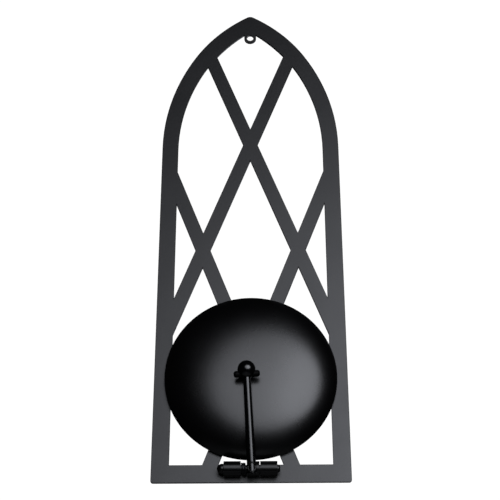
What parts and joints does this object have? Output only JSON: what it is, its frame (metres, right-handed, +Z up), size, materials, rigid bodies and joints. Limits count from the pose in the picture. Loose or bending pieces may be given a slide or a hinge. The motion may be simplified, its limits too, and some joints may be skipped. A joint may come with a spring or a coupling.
{
  "type": "wall dinner bell",
  "caption": "Wall-hung bell: a flat gothic lattice panel with a hanging eye, a shallow domed gong and a sprung hinged striker with a ball.",
  "frame": {"origin": "centre of the hanging hole, on the back face of the panel, which lies on the wall", "axes": "+X to the right as seen from the front, +Y into the wall, +Z up; the front faces -Y"},
  "size_m": [0.1904, 0.045, 0.5467],
  "materials": {
    "panel_coat": "fine satin black powder coat",
    "gong_coat": "satin black powder coat",
    "hinge_coat": "semi-gloss black enamel",
    "striker_coat": "gloss black enamel",
    "spring_steel": "black oxide",
    "zinc_steel": "zinc plated",
    "fibre_washer": "vulcanised fibre"
  },
  "bodies": {
    "bell": {"arch_panel": "panel_coat", "gong": "gong_coat", "gong_post": "zinc_steel", "post_washer": "fibre_washer", "gong_screw": "zinc_steel", "left_barrel": "hinge_coat", "right_barrel": "hinge_coat", "hinge_pin": "hinge_coat", "pin_cap": "hinge_coat", "return_spring": "spring_steel"},
    "striker": {"knuckle": "hinge_coat", "striker_rod": "striker_coat", "cross_pin": "striker_coat", "striker_ball": "striker_coat"}
  },
  "joints": [
    {"name": "striker_swing", "type": "hinge", "parent": "bell", "child": "striker", "pos_m": [0, -0.01, -0.5053], "axis": [1, 0, 0], "range_deg": [-1.1, 85], "stiffness_Nm_per_rad": 0.28, "springref_deg": -2.58, "deforming": ["return_spring"]}
  ]
}
